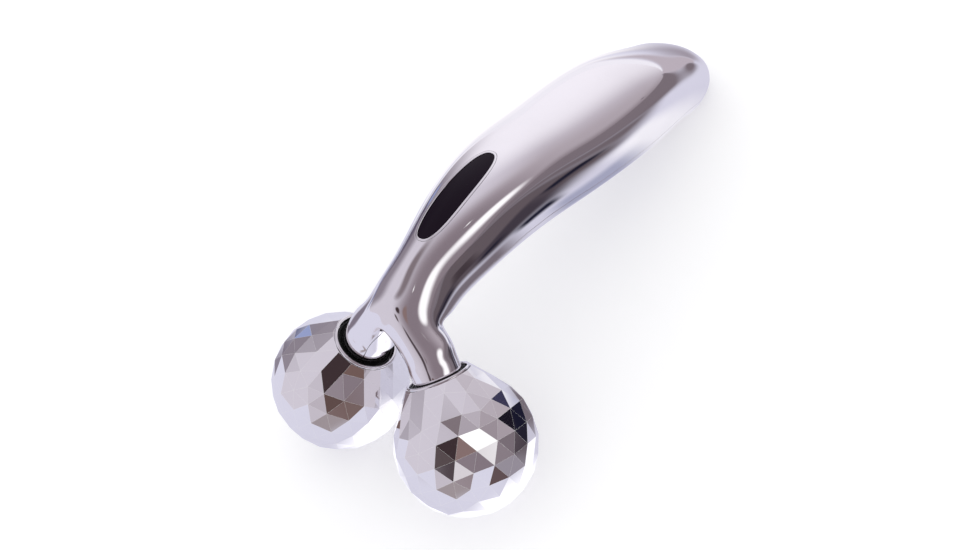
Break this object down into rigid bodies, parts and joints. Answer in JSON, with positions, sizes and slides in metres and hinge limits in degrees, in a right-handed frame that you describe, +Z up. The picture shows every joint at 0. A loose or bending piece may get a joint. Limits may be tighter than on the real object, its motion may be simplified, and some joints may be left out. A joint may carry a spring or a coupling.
{
  "type": "roller massager",
  "caption": "Hand-held face and body roller massager: a forked chrome handle with a dark oval window carries faceted chrome balls that spin freely on leaning axles.",
  "frame": {"origin": "on the floor that it rests on, under the middle of the whole object", "axes": "+Z up, +Y from the balls towards the tail, +X towards the right ball, so X = 0 is the plane of symmetry"},
  "size_m": [0.087, 0.1714, 0.0617],
  "materials": {
    "handle_chrome": "mirror-bright chrome plate on moulded plastic",
    "ball_chrome": "mirror-bright chrome plate on flat facets",
    "bright_chrome": "bright chrome trim",
    "black_gloss": "gloss black window plastic",
    "cell_blue": "dark blue solar cell with fine fingers",
    "grey_plastic": "moulded grey plastic",
    "white_plastic": "moulded off-white plastic",
    "cast_metal": "as-cast metal",
    "weight_metal": "dark sintered metal",
    "steel": "turned steel",
    "brass": "turned brass",
    "black_rubber": "soft matt black rubber",
    "red_sleeve": "red wire sleeve",
    "black_sleeve": "black wire sleeve"
  },
  "bodies": {
    "handle": {"front_shell": "handle_chrome", "back_shell": "handle_chrome", "window_bezel": "bright_chrome", "window_lens": "black_gloss", "solar_cell": "cell_blue", "cell_tray": "grey_plastic", "core_frame": "grey_plastic", "axle_yoke": "cast_metal", "balance_weight": "weight_metal", "grip_contact": "brass", "contact_wire": "red_sleeve", "yoke_wire": "black_sleeve", "frame_screw_1": "steel", "frame_screw_2": "steel", "frame_screw_3": "steel", "yoke_screw_1": "steel", "yoke_screw_2": "steel", "axle_right": "steel", "axle_pin_right": "steel", "retaining_ring_right": "steel", "tip_washer_right": "white_plastic", "arm_washer_right": "white_plastic", "axle_left": "steel", "axle_pin_left": "steel", "retaining_ring_left": "steel", "tip_washer_left": "white_plastic", "arm_washer_left": "white_plastic"},
    "ball_right": {"ball_shell_right": "ball_chrome", "ball_collar_right": "bright_chrome", "dust_seal_right": "black_rubber", "ball_core_right": "white_plastic", "core_cap_right": "white_plastic", "bearing_sleeve_right": "brass"},
    "ball_left": {"ball_shell_left": "ball_chrome", "ball_collar_left": "bright_chrome", "dust_seal_left": "black_rubber", "ball_core_left": "white_plastic", "core_cap_left": "white_plastic", "bearing_sleeve_left": "brass"}
  },
  "joints": [
    {"name": "ball_right_spin", "type": "hinge", "parent": "handle", "child": "ball_right", "pos_m": [0.0236, -0.06579, 0.02], "axis": [-0.5015, 0.4358, 0.7473], "continuous": true},
    {"name": "ball_left_spin", "type": "hinge", "parent": "handle", "child": "ball_left", "pos_m": [-0.0236, -0.06579, 0.02], "axis": [0.5015, 0.4358, 0.7473], "continuous": true}
  ]
}
